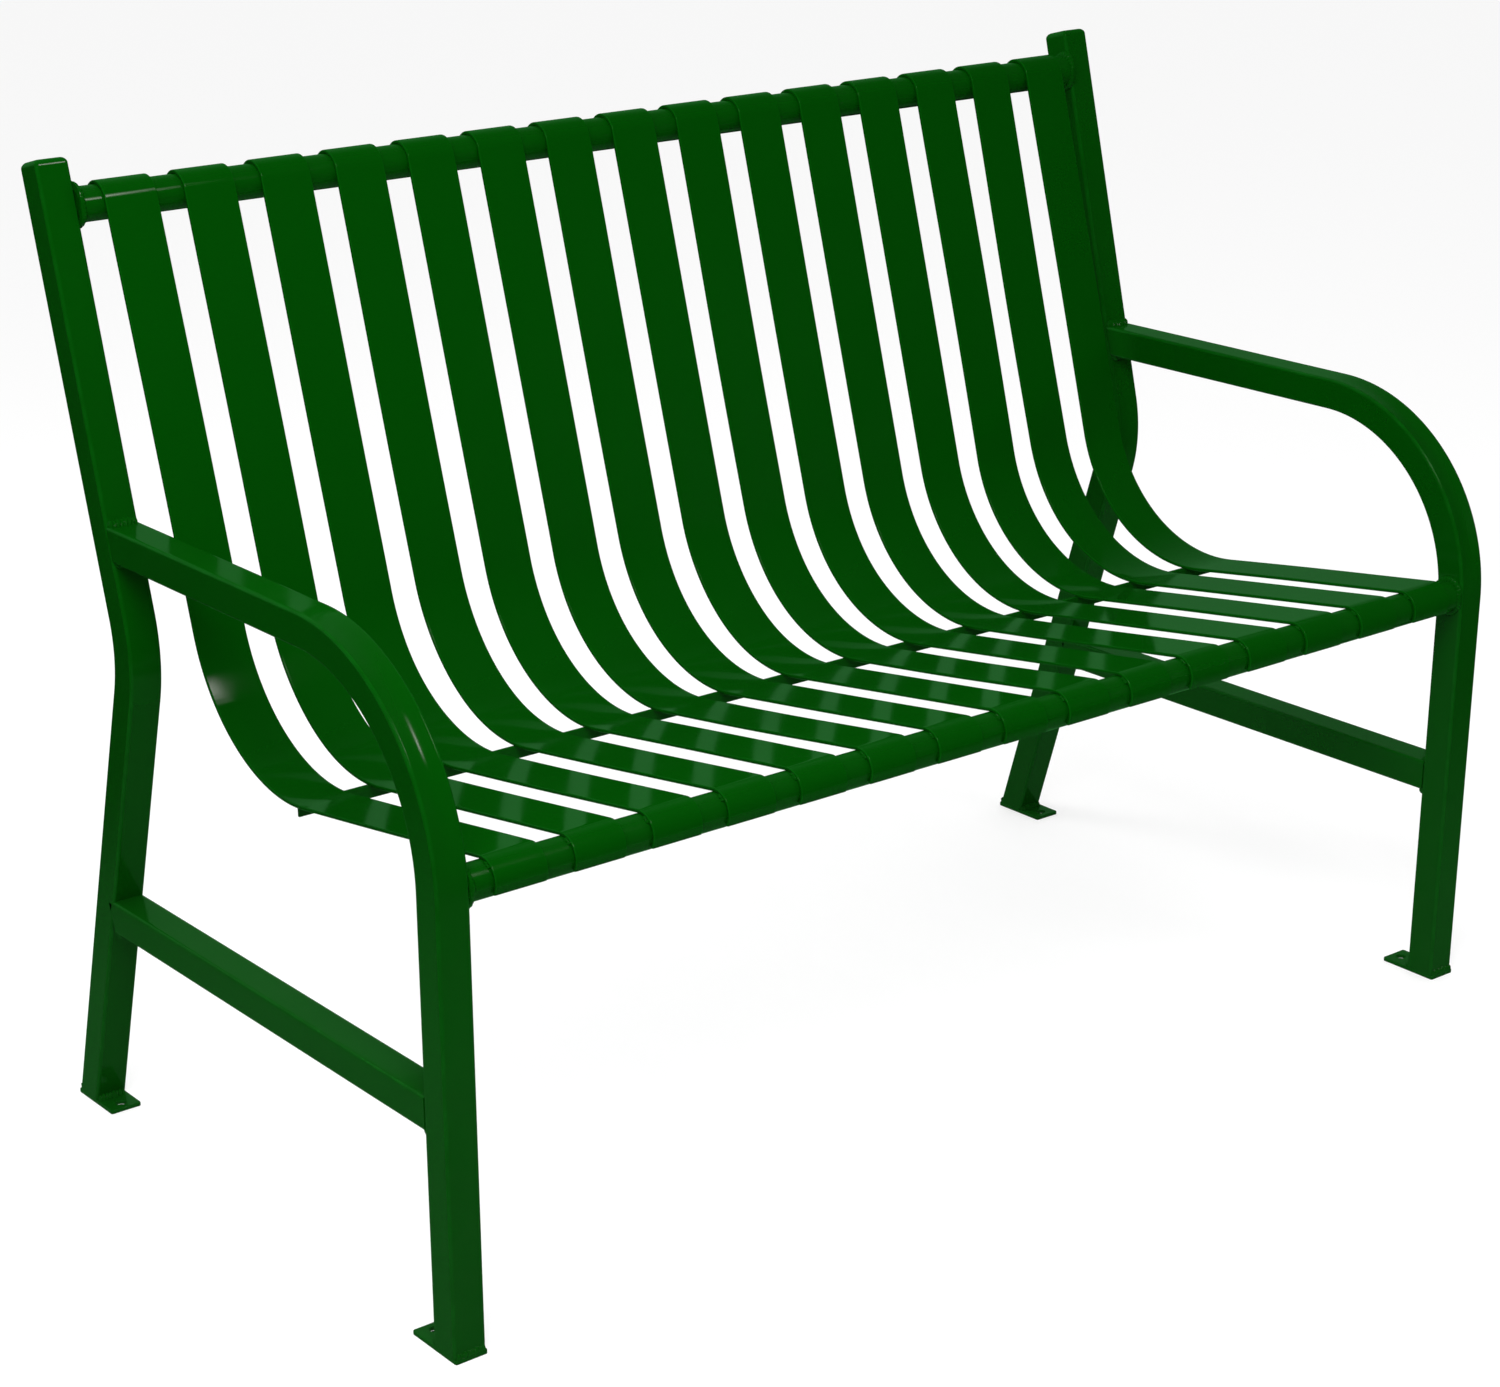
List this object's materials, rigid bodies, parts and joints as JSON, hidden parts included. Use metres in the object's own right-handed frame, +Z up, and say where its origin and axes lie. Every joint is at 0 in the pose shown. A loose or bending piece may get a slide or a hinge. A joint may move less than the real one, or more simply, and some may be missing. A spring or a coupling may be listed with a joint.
{
  "type": "park bench",
  "caption": "Park bench with back and armrests: flat steel straps curve from a high rail down the back and over the seat, between side frames of bent square tube with foot plates.",
  "frame": {"origin": "on the ground at the middle of the bench's footprint", "axes": "+X along the bench, towards the sitter's left hand; -Y to the front, the way a sitter faces; +Z up"},
  "size_m": [1.245, 0.6799, 0.92],
  "materials": {
    "frame_powder_coat": "glossy dark green powder coat",
    "strap_powder_coat": "glossy dark green powder coat"
  },
  "bodies": {
    "root": {"left_rear_post": "frame_powder_coat", "left_arm_leg": "frame_powder_coat", "left_stretcher": "frame_powder_coat", "left_post_cap": "frame_powder_coat", "left_front_foot_plate": "frame_powder_coat", "left_rear_foot_plate": "frame_powder_coat", "right_rear_post": "frame_powder_coat", "right_arm_leg": "frame_powder_coat", "right_stretcher": "frame_powder_coat", "right_post_cap": "frame_powder_coat", "right_front_foot_plate": "frame_powder_coat", "right_rear_foot_plate": "frame_powder_coat", "top_rail": "frame_powder_coat", "front_rail": "frame_powder_coat", "seat_support_bar": "frame_powder_coat", "strap_01": "strap_powder_coat", "strap_02": "strap_powder_coat", "strap_03": "strap_powder_coat", "strap_04": "strap_powder_coat", "strap_05": "strap_powder_coat", "strap_06": "strap_powder_coat", "strap_07": "strap_powder_coat", "strap_08": "strap_powder_coat", "strap_09": "strap_powder_coat", "strap_10": "strap_powder_coat", "strap_11": "strap_powder_coat", "strap_12": "strap_powder_coat", "strap_13": "strap_powder_coat", "strap_14": "strap_powder_coat", "strap_15": "strap_powder_coat"}
  },
  "joints": []
}
